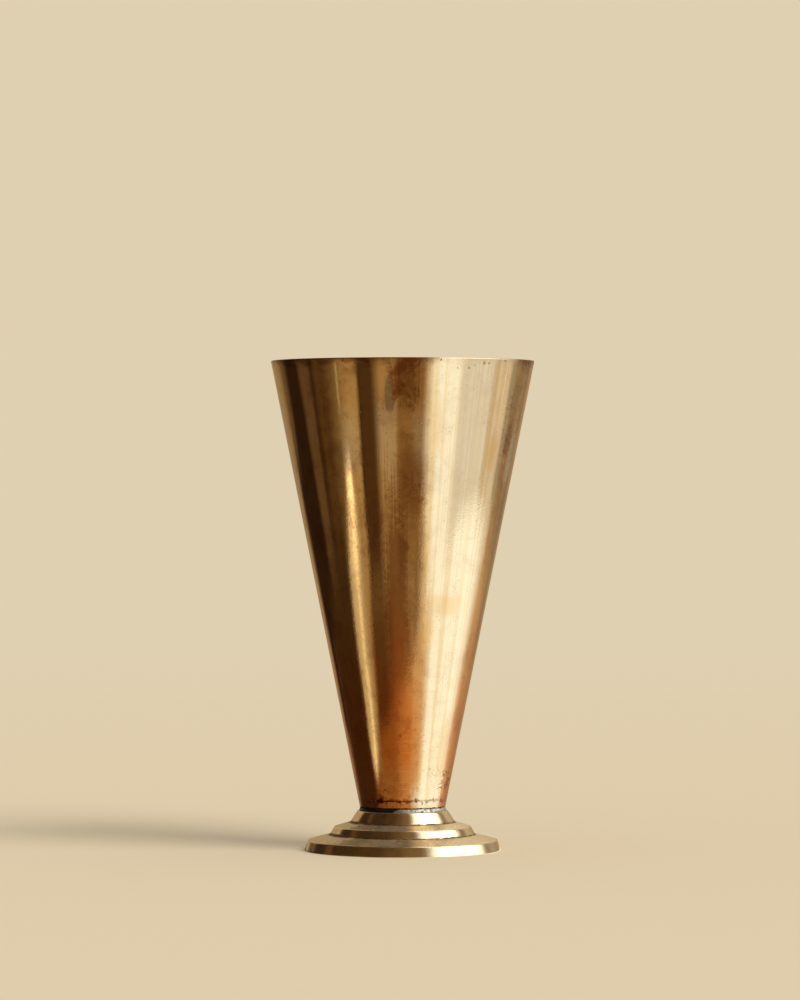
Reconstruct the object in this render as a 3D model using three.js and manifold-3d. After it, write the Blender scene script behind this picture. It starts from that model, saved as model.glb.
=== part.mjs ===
// Conical vase: a plated sheet cone soldered over the spigot of a cast, hollow, three-tier foot.
// Millimetres, +Z up. The origin is the middle of the plane that the foot stands on.

import * as THREE from "three";
import { mergeVertices } from "three/addons/utils/BufferGeometryUtils.js";
import Module from "manifold-3d";

// Cone: outside radii at the rim and at the lower edge, and the thickness of its sheet
const vaseHeight = 260;
const rimRadius = 70.2;
const neckRadius = 22.8;
const coneSheet = 0.9;

// Top tier of the foot, which the cone stands on: the ledge shows this far past the cone's edge
const seatLedgeWidth = 1.1;
const topTierHeight = 6.15;
const topTierFlare = 4;

// Middle tier: its ledge slopes down from the foot of the tier above
const middleLedgeWidth = 8.4;
const middleLedgeFall = 2.4;
const middleTierHeight = 4.1;
const middleTierFlare = 2.3;

// Bottom tier, down to the table
const bottomLedgeWidth = 11.9;
const bottomLedgeFall = 3.1;
const bottomTierHeight = 5.4;
const bottomTierFlare = 1.6;

// Casting of the foot: wall over the hollow underside, softened edges, and fillets in its corners
const footWall = 2.4;
const footEdgeRound = 0.5;
const footCornerFillet = 0.8;

// Joint: the cone's skirt goes over the spigot until the floor rests on it, which leaves a seam below
const spigotHeight = 3.2;
const spigotChamfer = 0.6;
const seamHeight = 2.15;
const seamToeProud = 0.45;
const seamTopProud = 0.1;
const fitGap = 0.3;

// The stretch of the seam that the solder never filled, in degrees round from +X
const seamMissingStart = 189;
const seamMissingEnd = 256;

// Floor of the water space, and the solder fillet that seals it to the cone
const floorThickness = 1.2;
const floorFilletLeg = 1.8;

// Facets
const aroundSteps = 72;
const roundingSteps = 3;
const lipSteps = 4;

// Heights and slopes that follow from the sizes above
const seatHeight =
  topTierHeight + middleLedgeFall + middleTierHeight + bottomLedgeFall + bottomTierHeight;
const coneBottom = seatHeight + seamHeight;
const coneSlope = (rimRadius - neckRadius) / (vaseHeight - coneBottom);
const coneHalfAngle = Math.atan(coneSlope);
const wallAcross = coneSheet / Math.cos(coneHalfAngle);
const spigotRadius = neckRadius - wallAcross - fitGap;
const floorBottom = seatHeight + spigotHeight;
const floorTop = floorBottom + floorThickness;

// Outside and inside radius of the cone at a height
const coneRadius = (height) => neckRadius + coneSlope * (height - coneBottom);
const boreRadius = (height) => coneRadius(height) - wallAcross;

const wasm = await Module();
wasm.setup();

// A closed profile of (radius, height) points turned about the vertical axis
function turned(profile) {
  return new THREE.LatheGeometry(profile, aroundSteps).rotateX(Math.PI / 2);
}

function solidOf(geometry) {
  const bare = geometry.clone().deleteAttribute("normal").deleteAttribute("uv");
  const merged = mergeVertices(bare);
  return new wasm.Manifold(
    new wasm.Mesh({
      numProp: 3,
      vertProperties: merged.attributes.position.array,
      triVerts: new Uint32Array(merged.index.array),
    }),
  );
}

function cutAway(geometry, cutter) {
  const mesh = solidOf(geometry).subtract(solidOf(cutter)).getMesh();
  const result = new THREE.BufferGeometry();
  result.setAttribute("position", new THREE.BufferAttribute(mesh.vertProperties, mesh.numProp));
  result.setIndex(new THREE.BufferAttribute(mesh.triVerts, 1));
  result.computeVertexNormals();
  return result;
}

// A profile through corner points, where a corner's rounding is how far from it the curve starts
function roundedProfile(corners) {
  const path = new THREE.Path();
  corners.forEach(({ point, rounding = 0 }, i) => {
    if (i === 0) {
      path.moveTo(point.x, point.y);
      return;
    }
    if (!rounding || i === corners.length - 1) {
      path.lineTo(point.x, point.y);
      return;
    }
    const before = corners[i - 1].point;
    const after = corners[i + 1].point;
    const shortest = Math.min(point.distanceTo(before), point.distanceTo(after));
    const reach = Math.min(rounding, shortest / 2);
    const start = before.clone().sub(point).setLength(reach).add(point);
    const end = after.clone().sub(point).setLength(reach).add(point);
    path.lineTo(start.x, start.y);
    path.quadraticCurveTo(point.x, point.y, end.x, end.y);
  });
  return path.getPoints(roundingSteps);
}

const at = (radius, height) => new THREE.Vector2(radius, height);

// The line from one point to the next, moved sideways to its left
function shiftedLine(from, to, distance) {
  const along = to.clone().sub(from).normalize();
  const left = at(-along.y, along.x);
  return { point: from.clone().addScaledVector(left, distance), along };
}

function crossing(a, b) {
  const between = b.point.clone().sub(a.point);
  const travel = between.cross(b.along) / a.along.cross(b.along);
  return a.point.clone().addScaledVector(a.along, travel);
}

// Cone: straight wall, square lower edge, and a lip rounded over at the rim
function coneGeometry() {
  const half = coneSheet / 2;
  const lipHeight = vaseHeight - half;
  const lipMiddle = at(coneRadius(lipHeight) - half / Math.cos(coneHalfAngle), lipHeight);
  const path = new THREE.Path();
  path.moveTo(boreRadius(coneBottom), coneBottom);
  path.lineTo(neckRadius, coneBottom);
  path.absarc(lipMiddle.x, lipMiddle.y, half, -coneHalfAngle, Math.PI - coneHalfAngle, false);
  path.lineTo(boreRadius(coneBottom), coneBottom);
  return turned(path.getPoints(lipSteps));
}

// Corners of the foot's outside from the table up to the ledge that carries the cone
function tierCorners() {
  const tiers = [
    { ledge: seatLedgeWidth, fall: 0, height: topTierHeight, flare: topTierFlare },
    { ledge: middleLedgeWidth, fall: middleLedgeFall, height: middleTierHeight, flare: middleTierFlare },
    { ledge: bottomLedgeWidth, fall: bottomLedgeFall, height: bottomTierHeight, flare: bottomTierFlare },
  ];
  const corner = at(neckRadius, seatHeight);
  const downwards = [];
  for (const { ledge, fall, height, flare } of tiers) {
    corner.add(at(ledge, -fall));
    downwards.push({ point: corner.clone(), rounding: footEdgeRound });
    corner.add(at(flare, -height));
    downwards.push({ point: corner.clone(), rounding: footCornerFillet });
  }
  const upwards = downwards.reverse();
  upwards[0].rounding = footEdgeRound;
  return upwards;
}

// The hollow underside follows the tiers one wall inside them, from its roof down to the table
function hollowCorners(outside) {
  const seatMiddle = at(0, seatHeight);
  const skin = [...outside.map(({ point }) => point), seatMiddle];
  const table = { point: at(0, 0), along: at(1, 0) };
  const axis = { point: at(0, 0), along: at(0, 1) };
  const walls = skin.slice(1).map((point, i) => shiftedLine(skin[i], point, footWall));
  const lines = [table, ...walls, axis];
  const points = lines.slice(1).map((line, i) => crossing(lines[i], line));
  return points.reverse().map((point, i) => ({
    point,
    rounding: i === 0 || i === points.length - 1 ? 0 : footCornerFillet,
  }));
}

// Foot: one casting, stepped outside, hollow below, with the spigot standing on its top tier
function footGeometry() {
  const outside = tierCorners();
  const spigotTop = seatHeight + spigotHeight;
  const spigot = [
    { point: at(spigotRadius, seatHeight) },
    { point: at(spigotRadius, spigotTop - spigotChamfer) },
    { point: at(spigotRadius - spigotChamfer, spigotTop) },
    { point: at(0, spigotTop) },
  ];
  return turned(roundedProfile([...hollowCorners(outside), ...outside, ...spigot]));
}

// Floor: a disc whose edge has the cone's taper, so that it wedges in the bore above the spigot
function floorGeometry() {
  const profile = [
    at(0, floorBottom),
    at(boreRadius(floorBottom) - fitGap, floorBottom),
    at(boreRadius(floorTop) - fitGap, floorTop),
    at(0, floorTop),
  ];
  return turned(profile);
}

// Solder in the corner of floor and wall, with the hollow face that it draws into as it sets
function floorSolderGeometry() {
  const filletTop = floorTop + floorFilletLeg;
  const wallFoot = at(boreRadius(floorTop) - fitGap, floorTop);
  const wallTop = at(boreRadius(filletTop) - fitGap, filletTop);
  const toe = at(wallFoot.x - floorFilletLeg, floorTop);
  const path = new THREE.Path();
  path.moveTo(toe.x, toe.y);
  path.lineTo(wallFoot.x, wallFoot.y);
  path.lineTo(wallTop.x, wallTop.y);
  path.quadraticCurveTo(
    (wallFoot.x + toe.x + wallTop.x) / 3,
    (wallFoot.y + toe.y + wallTop.y) / 3,
    toe.x,
    toe.y,
  );
  return turned(path.getPoints(roundingSteps));
}

// Solder under the cone's edge: a band round the spigot, less the stretch that never filled
function neckSolderGeometry() {
  const inside = spigotRadius + fitGap;
  const path = new THREE.Path();
  path.moveTo(inside, seatHeight);
  path.lineTo(neckRadius + seamToeProud, seatHeight);
  path.quadraticCurveTo(
    neckRadius + seamTopProud,
    seatHeight + seamHeight / 2,
    neckRadius + seamTopProud,
    coneBottom,
  );
  path.lineTo(inside, coneBottom);
  path.lineTo(inside, seatHeight);
  const band = turned(path.getPoints(roundingSteps));

  const reach = neckRadius + seatLedgeWidth;
  const start = THREE.MathUtils.degToRad(seamMissingStart);
  const end = THREE.MathUtils.degToRad(seamMissingEnd);
  const sector = new THREE.Shape();
  sector.moveTo(0, 0);
  sector.absarc(0, 0, reach, start, end, false);
  sector.lineTo(0, 0);
  const gap = new THREE.ExtrudeGeometry(sector, {
    depth: 3 * seamHeight,
    bevelEnabled: false,
    curveSegments: aroundSteps,
  });
  gap.translate(0, 0, seatHeight - seamHeight);
  return cutAway(band, gap);
}

// Finishes
const agedPlate = { color: 0xc8a878, roughness: 0.18, metalness: 1 };
const wornFootPlate = { color: 0xb8a684, roughness: 0.3, metalness: 1 };
const bareCopper = { color: 0xa8683c, roughness: 0.4, metalness: 1 };
const dullSolder = { color: 0x86898c, roughness: 0.55, metalness: 0.9 };

function piece(name, geometry, finish) {
  const mesh = new THREE.Mesh(geometry, new THREE.MeshStandardMaterial(finish));
  mesh.name = name;
  return mesh;
}

const vase = new THREE.Group();
vase.add(piece("stepped_foot", footGeometry(), wornFootPlate));
vase.add(piece("neck_solder", neckSolderGeometry(), dullSolder));
vase.add(piece("cone_body", coneGeometry(), agedPlate));
vase.add(piece("floor_disc", floorGeometry(), bareCopper));
vase.add(piece("floor_solder", floorSolderGeometry(), dullSolder));

export default vase;
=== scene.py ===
"""Dresses the conical vase: plated cone, stepped foot, solder seams and floor, on a plain studio stage."""

import math

import bpy
from bpy.props import FloatProperty, FloatVectorProperty, IntProperty, PointerProperty
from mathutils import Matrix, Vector, noise


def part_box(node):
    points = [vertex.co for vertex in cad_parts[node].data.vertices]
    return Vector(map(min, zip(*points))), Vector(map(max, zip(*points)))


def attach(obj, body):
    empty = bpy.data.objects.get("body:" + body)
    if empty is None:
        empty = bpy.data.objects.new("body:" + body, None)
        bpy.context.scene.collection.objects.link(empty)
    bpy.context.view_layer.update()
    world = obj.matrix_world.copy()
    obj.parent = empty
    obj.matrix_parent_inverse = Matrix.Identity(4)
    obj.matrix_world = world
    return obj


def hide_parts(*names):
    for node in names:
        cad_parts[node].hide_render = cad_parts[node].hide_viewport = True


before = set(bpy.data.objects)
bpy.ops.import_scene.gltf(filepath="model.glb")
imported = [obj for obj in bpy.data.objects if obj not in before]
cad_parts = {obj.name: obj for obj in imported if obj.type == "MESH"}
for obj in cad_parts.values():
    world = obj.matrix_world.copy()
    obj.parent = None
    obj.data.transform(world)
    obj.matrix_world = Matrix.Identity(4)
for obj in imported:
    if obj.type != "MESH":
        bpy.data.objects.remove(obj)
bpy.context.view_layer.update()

bl_info = {
    "name": "Conical vase",
    "version": (1, 0, 0),
    "blender": (4, 5, 0),
    "location": "View3D > Sidebar > Vase",
    "description": "Builds an aged plated conical vase on a stepped foot, with its studio stage",
    "category": "Add Mesh",
}

MM = 0.001
CONE_LOW, CONE_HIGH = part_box("cone_body")
_, FOOT_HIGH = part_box("stepped_foot")
FLOOR_LOW, FLOOR_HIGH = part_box("floor_disc")
FILLET_LOW, FILLET_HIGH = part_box("floor_solder")
SEAM_LOW, SEAM_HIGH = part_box("neck_solder")

# Fineness of the meshes: longest runs along a profile, steps round and along curves, reach of a merge
CONE_SPACING = 3.5 * MM
FOOT_SPACING = 1.2 * MM
FLOOR_SPACING = 1.5 * MM
FLOOR_STEPS = 144
NECK_STEPS = 420
FILLET_STEPS = 240
LIP_STEPS = 10
ROUNDING_STEPS = 5
FILLET_CURVE_STEPS = 6
MERGE_DISTANCE = 0.001 * MM

# Waves of the turned pieces: their noise's scale round and up, and the floor's depth as a share of radius
CONE_WAVES = 5.0
FOOT_WAVES = 3.0
FLOOR_WAVES = 4.0
WAVES_UP = 9.0
FLOOR_WAVE_SHARE = 0.0008


def linear(*levels):
    """A colour as read off a screen, in 0 to 255, as the linear values that shaders take."""
    shares = [level / 255 for level in levels]
    return tuple(((share + 0.055) / 1.055) ** 2.4 if share > 0.04 else share / 12.92 for share in shares)


def number(name, default, description, **options):
    """A number property."""
    return FloatProperty(name=name, description=description, default=default, **options)


def length(name, default, description):
    """A length property in metres."""
    return number(name, default, description, min=0, precision=5, unit="LENGTH")


def angle(name, degrees, description):
    """An angle property."""
    return number(name, math.radians(degrees), description, subtype="ANGLE")


def facets(default):
    """How many facets a turned piece has round its axis."""
    return IntProperty(name="Steps round", description="Facets round the axis", default=default, min=24)


def colour(name, default, description):
    """A colour property."""
    return FloatVectorProperty(
        name=name, description=description, default=default, size=3, min=0, max=4, subtype="COLOR"
    )


def tier(name, *millimetres):
    """Sizes of a tier of the foot: width and fall of its ledge, height and flare of its riser."""
    return FloatVectorProperty(
        name=name, description="Width and fall of the ledge, height and flare of the riser", size=4,
        default=[size * MM for size in millimetres], min=0, precision=5, unit="LENGTH",
    )


# Sizes and colours that a user would change


class VaseConeSettings(bpy.types.PropertyGroup):
    """The sheet cone."""

    rim_radius: length("Rim radius", CONE_HIGH.x, "Outside radius at the rim")
    neck_radius: length("Neck radius", 22.8 * MM, "Outside radius at the cone's lower edge")
    sheet: length("Sheet", 0.9 * MM, "Thickness of the sheet")
    edge_round: length("Edge rounding", 0.2 * MM, "Softening of the cut lower edge")
    steps_round: facets(288)
    wave_share: number("Wave share", 0.0011, "Depth of the hand-made waves as a share of the radius")
    silver: colour("Silver", linear(236, 216, 176), "Clean plate")
    gold: colour("Gold", linear(217, 178, 116), "Plate with a first film of tarnish")
    umber: colour("Umber", linear(138, 88, 46), "Heavy brown tarnish")
    ash: colour("Ash", linear(150, 134, 104), "Grey stains")
    # Copper below paints the warm table's reflection on the lower cone, drawn as copper showing through the
    # plate
    copper: colour("Copper", linear(206, 120, 54), "Copper where the plate is worn through")
    rust: colour("Red film", linear(132, 56, 22), "Red copper film in scratches")
    crust: colour("Crust", linear(80, 32, 12), "Dark crust in pits and along the floor line")
    # Bright colour laid along creases as painted highlights
    painted_glint: colour("Shine", linear(255, 230, 164), "Freshly rubbed creases")
    bore: colour("Bore", linear(198, 184, 158), "Dull plate inside")


class VaseFootSettings(bpy.types.PropertyGroup):
    """The cast foot, tier by tier from the cone down."""

    top_tier: tier("Top tier", 1.1, 0.0, 6.15, 4.0)
    middle_tier: tier("Middle tier", 8.4, 2.4, 4.1, 2.3)
    bottom_tier: tier("Bottom tier", 11.9, 3.1, 5.4, 1.6)
    wall: length("Wall", 2.4 * MM, "Thickness of the casting")
    edge_round: length("Edge rounding", 0.35 * MM, "Softening of the outer edges")
    corner_fillet: length("Corner fillet", 0.45 * MM, "Fillet in the inner corners")
    spigot_chamfer: length("Spigot chamfer", 0.6 * MM, "Chamfer on the spigot's top edge")
    fit_gap: length("Fit gap", 0.3 * MM, "Clearance of the spigot in the cone")
    steps_round: facets(240)
    wave_share: number("Wave share", 0.0007, "Unevenness of the casting as a share of the radius")
    nickel: colour("Nickel", linear(238, 220, 182), "Clean pale plate")
    straw: colour("Straw", linear(218, 188, 136), "Yellowed plate")
    # Dirt colour, also laid in the inner corners as painted shade
    grime_and_shade: colour("Grime", linear(70, 52, 34), "Dirt in corners and pits")
    # Black laid on the hidden faces as painted shade, seen in the open gap under the cone
    painted_gap_shade: colour("Soot", linear(22, 15, 10), "Burnt flux left where the solder never ran")


class VaseSeamSettings(bpy.types.PropertyGroup):
    """The solder, and the floor that it seals."""

    missing_start: angle("Missing from", 189, "Where the unfilled stretch starts, round from +X")
    missing_end: angle("Missing to", 256, "Where the unfilled stretch ends, round from +X")
    raggedness: length("Raggedness", 0.25 * MM, "How uneven the solder set")
    solder: colour("Solder", linear(206, 204, 188), "Dull soft solder")
    solder_dark: colour("Dark solder", linear(118, 110, 90), "Oxidised solder")
    floor_edge_round: length("Floor edge rounding", 0.15 * MM, "Softening of the floor's edge")
    floor_copper: colour("Floor copper", linear(150, 98, 66), "Dull copper of the floor")
    scale: colour("Scale", linear(172, 164, 146), "Lime scale left by water")


class VaseStageSettings(bpy.types.PropertyGroup):
    """The floor, the light and the camera."""

    view_distance: length("View distance", 2.34, "From the camera to the vase's axis")
    eye_height: length("Eye height", 0.1926, "Camera height above the floor")
    side_step: length("Side step", 1.4 * MM, "How far left of the axis the camera stands")
    dip: angle("Dip", 0.16, "How far the camera looks down")
    lens: number("Lens", 158.4, "Focal length in millimetres on the film below")
    film: number("Film", 36.0, "Width of the film in millimetres")
    floor_half: length("Floor half", 9.0, "Half the width of the floor")
    lamp_energy: number("Lamp energy", 1.7, "Strength of the soft sun")
    lamp_spread: angle("Lamp spread", 32, "How wide the soft sun is in the sky")
    lamp_tint: colour("Lamp tint", (1.0, 0.96, 0.90), "Colour of the soft sun")
    backdrop: colour("Backdrop", linear(224, 208, 178), "Pale floor and background")
    ambient: colour("Ambient", (0.62, 0.61, 0.59), "Soft light from all round")
    umber: colour("Dark flags", (0.036, 0.020, 0.012), "What the metal mirrors between the cards")


# Node helpers


class Field:
    """An output of a node, with plain arithmetic and short ways to shape it."""

    def __init__(self, nodes, socket):
        self.nodes = nodes
        self.socket = socket

    def __add__(self, other):
        return self.nodes.math("ADD", self, other)

    def __sub__(self, other):
        return self.nodes.math("SUBTRACT", self, other)

    def __rsub__(self, other):
        return self.nodes.math("SUBTRACT", other, self)

    def __mul__(self, other):
        return self.nodes.math("MULTIPLY", self, other)

    def __truediv__(self, other):
        return self.nodes.math("DIVIDE", self, other)

    def __abs__(self):
        return self.nodes.math("ABSOLUTE", self)

    def spread(self, amount):
        """Noise as an offset either way."""
        return (self - 0.5) * amount

    def step(self, low, high, to_low=0.0, to_high=1.0):
        """A smooth step from to_low at low to to_high at high."""
        return self.nodes.out(
            "ShaderNodeMapRange", {"interpolation_type": "SMOOTHSTEP"},
            Value=self, From_Min=low, From_Max=high, To_Min=to_low, To_Max=to_high,
        )

    def between(self, low, high, soft_low, soft_high):
        """1 from low to high, with soft sides."""
        return self.step(low - soft_low, low + soft_low) * self.step(high + soft_high, high - soft_high)

    def turned(self, centre):
        """Degrees from another azimuth to this one, the short way round."""
        return self.nodes.math("WRAP", self - centre, 180.0, -180.0)

    def arc(self, start, end, soft_start, soft_end):
        """1 between two azimuths, with soft sides."""
        half = (end - start) / 2
        return self.turned(start + half).between(-half, half, soft_start, soft_end)

    def blend(self, a, b):
        """Number a, giving way to b as this share rises."""
        return self.nodes.mixed("FLOAT", self, a, b)

    def noise(self, scale, detail=3.0, roughness=0.55, distortion=0.0):
        """Soft noise between about 0.2 and 0.8, read at this place."""
        return self.nodes.out(
            "ShaderNodeTexNoise",
            Vector=self, Scale=scale, Detail=detail, Roughness=roughness, Distortion=distortion,
        )

    def split(self):
        """The three parts of a vector."""
        return list(self.nodes.outputs("ShaderNodeSeparateXYZ", Vector=self).values())


class Nodes:
    """A node tree with short ways to add a node and wire it up."""

    # Sockets of a mix node for each kind of value: factor, both values and result
    MIX_SOCKETS = {"FLOAT": (0, 2, 3, 0), "RGBA": (0, 6, 7, 2)}

    def __init__(self, tree):
        self.tree = tree
        tree.nodes.clear()

    def add(self, kind, settings=None, **inputs):
        """A node of this kind. Inputs are named, with _ for a space."""
        node = self.tree.nodes.new(kind)
        for key, value in (settings or {}).items():
            setattr(node, key, value)
        for key, value in inputs.items():
            self.plug(node.inputs[key.replace("_", " ")], value)
        return node

    def out(self, kind, settings=None, output=0, **inputs):
        """One output of a new node."""
        return Field(self, self.add(kind, settings, **inputs).outputs[output])

    def outputs(self, kind, **inputs):
        """Every output of a new node, by name."""
        return {socket.name: Field(self, socket) for socket in self.add(kind, **inputs).outputs}

    def plug(self, socket, value):
        """Sets a socket from a value or from another node's output."""
        if isinstance(value, Field):
            self.tree.links.new(value.socket, socket)
        elif socket.type == "RGBA":
            socket.default_value = (*value[:3], 1.0)
        else:
            socket.default_value = value

    def math(self, operation, *values, kind="ShaderNodeMath", output=0):
        """One step of arithmetic."""
        node = self.add(kind, {"operation": operation})
        for socket, value in zip(node.inputs, values):
            self.plug(socket, value)
        return Field(self, node.outputs[output])

    def vector(self, operation, *values):
        """One step of vector arithmetic."""
        output = "Value" if operation in ("LENGTH", "DISTANCE") else "Vector"
        return self.math(operation, *values, kind="ShaderNodeVectorMath", output=output)

    def scaled(self, vector, factor):
        """A vector or colour times a number."""
        return self.out("ShaderNodeVectorMath", {"operation": "SCALE"}, Vector=vector, Scale=factor)

    def joined(self, x, y, z):
        """A vector from its three parts."""
        return self.out("ShaderNodeCombineXYZ", X=x, Y=y, Z=z)

    def mixed(self, kind, factor, a, b):
        """One value giving way to another as the factor rises."""
        node = self.add("ShaderNodeMix", {"data_type": kind})
        *inputs, result = self.MIX_SOCKETS[kind]
        for index, value in zip(inputs, (factor, a, b)):
            self.plug(node.inputs[index], value)
        return Field(self, node.outputs[result])

    def layered(self, base, *layers):
        """A base colour with layers of (share, colour) over it."""
        for share, tint in layers:
            base = self.mixed("RGBA", share, base, tint)
        return base

    def strongest(self, top, *masks):
        """The strongest of several masks."""
        for mask in masks:
            top = self.math("MAXIMUM", top, mask)
        return top

    def either(self, factor, a, b):
        """Shader a, giving way to b as the factor rises."""
        node = self.add("ShaderNodeMixShader")
        for socket, value in zip(node.inputs, (factor, a, b)):
            self.plug(socket, value)
        return Field(self, node.outputs[0])

    def place(self):
        """Where a point of the surface is, in the object's own frame."""
        return self.out("ShaderNodeTexCoord", output="Object")

    def azimuth(self, x, y):
        """Degrees round from the front, positive to the right."""
        return self.math("DEGREES", self.math("ARCTAN2", x, y * -1.0))

    def marks(self):
        """The three marks that a turned piece carries."""
        return self.out("ShaderNodeAttribute", {"attribute_name": "marks"}, "Vector").split()


def new_material(name):
    """An empty material and its node helper."""
    material = bpy.data.materials.new(name)
    material.use_nodes = True
    return material, Nodes(material.node_tree)


def metal_output(nodes, base, roughness, metallic, height, bump_distance):
    """The shader of a metal surface with its relief."""
    bump = nodes.out("ShaderNodeBump", Strength=1.0, Distance=bump_distance, Height=height)
    shader = nodes.out(
        "ShaderNodeBsdfPrincipled", Base_Color=base, Roughness=roughness, Metallic=metallic, Normal=bump
    )
    nodes.add("ShaderNodeOutputMaterial", Surface=shader)


def new_object(name, data):
    """An object in the scene."""
    made = bpy.data.objects.new(name, data)
    bpy.context.scene.collection.objects.link(made)
    return made


# Turned pieces


def turned_tree():
    """The tree that turns an object's own profile about the Z axis, with faint hand-made waves."""
    tree = bpy.data.node_groups.new("Turned profile", "GeometryNodeTree")
    for name, kind in (
        ("Profile", "NodeSocketGeometry"),
        ("Steps Round", "NodeSocketInt"),
        ("Wave Share", "NodeSocketFloat"),
        ("Wave Count", "NodeSocketFloat"),
        ("Finish", "NodeSocketMaterial"),
    ):
        tree.interface.new_socket(name, in_out="INPUT", socket_type=kind)
    tree.interface.new_socket("Piece", in_out="OUTPUT", socket_type="NodeSocketGeometry")
    nodes = Nodes(tree)
    given = nodes.outputs("NodeGroupInput")
    profile = given["Profile"]
    steps = given["Steps Round"]
    vectors = {"data_type": "FLOAT_VECTOR"}

    rows = nodes.out("GeometryNodeAttributeDomainSize", output="Point Count", Geometry=profile)
    grid = nodes.out("GeometryNodeMeshGrid", Vertices_X=steps + 1, Vertices_Y=rows)
    index = nodes.out("GeometryNodeInputIndex")
    row = nodes.math("MODULO", index, rows)
    column = nodes.math("FLOOR", index / rows)
    turn = column / steps * (2 * math.pi)

    def sampled(value):
        """A vector of the profile, read at each grid point's row."""
        return nodes.out("GeometryNodeSampleIndex", vectors, Geometry=profile, Value=value, Index=row)

    def turned(vector):
        """A vector of the profile turned to its column."""
        return nodes.out("ShaderNodeVectorRotate", {"rotation_type": "Z_AXIS"}, Vector=vector, Angle=turn)

    position = turned(sampled(nodes.out("GeometryNodeInputPosition")))
    around = nodes.scaled(turned((1.0, 0.0, 0.0)), given["Wave Count"])
    waves = nodes.vector("ADD", around, nodes.vector("MULTIPLY", position, (0.0, 0.0, WAVES_UP)))
    depth = (waves.noise(1.0, 2.0) - 0.5) * given["Wave Share"] * 2.0
    wave = nodes.scaled(nodes.vector("MULTIPLY", position, (1.0, 1.0, 0.0)), depth)

    placed = nodes.out("GeometryNodeSetPosition", Geometry=grid, Position=position, Offset=wave)
    marks = sampled(nodes.out("GeometryNodeInputNamedAttribute", vectors, Name="marks"))
    marked = nodes.out(
        "GeometryNodeStoreNamedAttribute", vectors, Geometry=placed, Name="marks", Value=marks
    )
    merged = nodes.out("GeometryNodeMergeByDistance", Geometry=marked, Distance=MERGE_DISTANCE)
    smooth = nodes.out("GeometryNodeSetShadeSmooth", Geometry=merged)
    real = nodes.out("GeometryNodeRealizeInstances", Geometry=smooth)
    finished = nodes.out("GeometryNodeSetMaterial", Geometry=real, Material=given["Finish"])
    nodes.plug(nodes.add("NodeGroupOutput").inputs[0], finished)
    return tree


def turned_piece(name, rows, steps_round, wave_share, wave_count, finish):
    """A plain mesh object made by turning rows of (radius, height, marks)."""
    profile = bpy.data.meshes.new(name)
    points = [(radius, 0.0, height) for radius, height, _ in rows]
    profile.from_pydata(points, [(i, i + 1) for i in range(len(rows) - 1)], [])
    marks = profile.attributes.new("marks", "FLOAT_VECTOR", "POINT")
    marks.data.foreach_set("vector", [value for row in rows for value in row[2]])
    piece = new_object(name, profile)
    tree = bpy.data.node_groups.get("Turned profile") or turned_tree()
    modifier = piece.modifiers.new("Turned profile", "NODES")
    modifier.node_group = tree
    values = {
        "Steps Round": steps_round, "Wave Share": wave_share, "Wave Count": wave_count, "Finish": finish
    }
    for item in tree.interface.items_tree:
        if item.name in values:
            modifier[item.identifier] = values[item.name]
    depsgraph = bpy.context.evaluated_depsgraph_get()
    evaluated = piece.evaluated_get(depsgraph)
    made = bpy.data.meshes.new_from_object(evaluated, preserve_all_data_layers=True, depsgraph=depsgraph)
    piece.modifiers.remove(modifier)
    piece.data = made
    made.name = name
    bpy.data.meshes.remove(profile)
    return piece


def curve_points(start, middle, end, steps):
    """Points of the curve that leaves the start towards the middle and arrives at the end from it."""
    shares = [k / steps for k in range(steps + 1)]
    return [start * (1 - t) ** 2 + middle * 2 * t * (1 - t) + end * t * t for t in shares]


def rounded(corners):
    """Points along corners of (radius, height, rounding), each rounding drawn as a short curve."""
    points = []
    for i, (radius, height, rounding) in enumerate(corners):
        corner = Vector((radius, height))
        if not rounding or i in (0, len(corners) - 1):
            points.append(corner)
            continue
        before = Vector(corners[i - 1][:2]) - corner
        after = Vector(corners[i + 1][:2]) - corner
        reach = min(rounding, before.length / 2, after.length / 2)
        start = corner + before.normalized() * reach
        end = corner + after.normalized() * reach
        points += curve_points(start, corner, end, ROUNDING_STEPS)
    return points


def filled(points, spacing):
    """The points with more between them, so that no run is longer than the spacing."""
    result = [points[0]]
    for point in points[1:]:
        last = result[-1].copy()
        count = max(1, math.ceil((point - last).length / spacing))
        result += [last.lerp(point, (k + 1) / count) for k in range(count)]
    return result


def nearness(point, places, reach):
    """1 at the nearest of these places, falling to 0 a few reaches away."""
    nearest = min((point - place).length for place in places)
    return math.exp(-((nearest / reach) ** 2))


def dress(piece, node):
    """Hangs a finished piece under the root body and hides the CAD node that it stands for."""
    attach(piece, "root")
    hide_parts(node)


# Cone


class ConeShape:
    """The cone's straight walls, from its settings and the frame."""

    def __init__(self, settings):
        self.bottom, self.top = CONE_LOW.z, CONE_HIGH.z
        self.neck, self.sheet = settings.neck_radius, settings.sheet
        self.slope = (settings.rim_radius - self.neck) / (self.top - self.bottom)
        self.half_angle = math.atan(self.slope)
        self.across = self.sheet / math.cos(self.half_angle)

    def outside(self, height):
        """Outside radius at a height."""
        return self.neck + self.slope * (height - self.bottom)

    def bore(self, height):
        """Inside radius at a height."""
        return self.outside(height) - self.across

    def point(self, azimuth, height):
        """The outside point at an azimuth in degrees from the front, positive to the right."""
        turn = math.radians(azimuth)
        radius = self.outside(height)
        return Vector((radius * math.sin(turn), -radius * math.cos(turn), height))


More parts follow.
